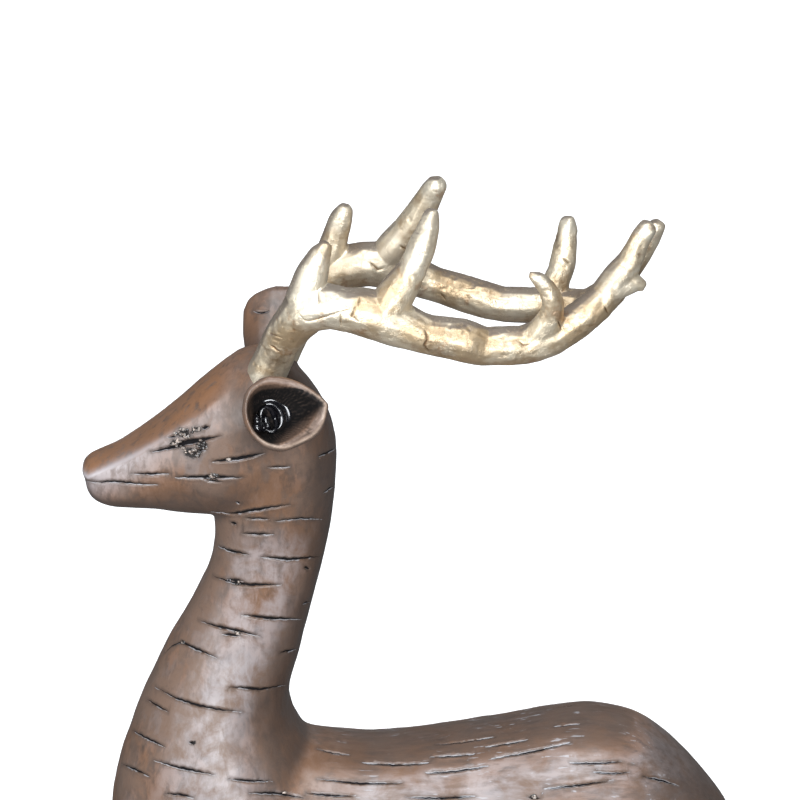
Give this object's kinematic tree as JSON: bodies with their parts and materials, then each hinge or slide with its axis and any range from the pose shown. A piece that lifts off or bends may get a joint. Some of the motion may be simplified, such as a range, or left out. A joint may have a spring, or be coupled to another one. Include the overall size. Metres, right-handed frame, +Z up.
{
  "type": "reclining stag figurine",
  "caption": "Cast resin stag lying with folded legs and raised head on a low base, bark-like brown finish, gold antlers swept back.",
  "frame": {"origin": "middle of the flat underside of the base", "axes": "+Z up, -X the way the animal looks, -Y its left side"},
  "size_m": [0.3474, 0.1676, 0.4302],
  "materials": {
    "bark_resin": "satin brown paint over cast resin, with dark wash in the cracks",
    "gold_paint": "pale gold paint over cast resin, satin"
  },
  "bodies": {
    "root": {"deer_body": "bark_resin", "left_antler": "gold_paint", "right_antler": "gold_paint"}
  },
  "joints": []
}
